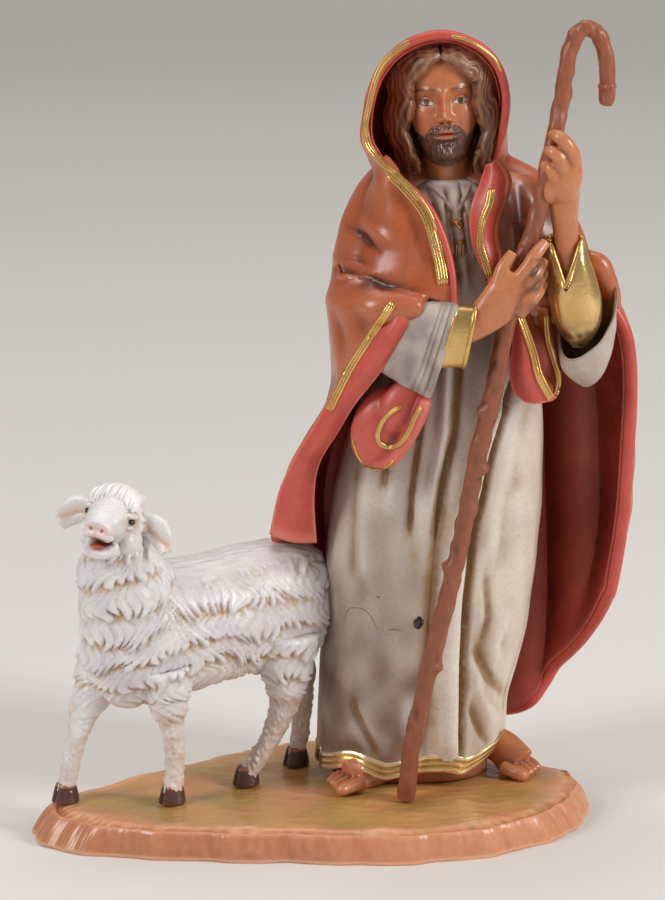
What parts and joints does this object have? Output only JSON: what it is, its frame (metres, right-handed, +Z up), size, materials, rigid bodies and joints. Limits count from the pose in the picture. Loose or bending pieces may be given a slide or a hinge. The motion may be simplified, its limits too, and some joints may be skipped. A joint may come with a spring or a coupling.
{
  "type": "good shepherd figurine",
  "caption": "Moulded polymer good shepherd figurine: a hooded shepherd holding a crook beside a walking sheep, all standing on an earth base.",
  "frame": {"origin": "middle of the base's flat underside", "axes": "+Z up; the shepherd faces -Y and the sheep stands on the -X side"},
  "size_m": [0.1011, 0.0522, 0.1378],
  "materials": {
    "painted_earth": "satin ochre paint over raw peach sides",
    "painted_cloth": "satin terracotta, coral and cream paint with an ochre wash and gold trim",
    "crook_bark": "satin dark brown, worn lighter on the ridges",
    "white_fleece": "satin off-white with an ochre wash in the fleece"
  },
  "bodies": {
    "root": {"base": "painted_earth", "shepherd": "painted_cloth", "crook": "crook_bark", "sheep": "white_fleece"}
  },
  "joints": []
}
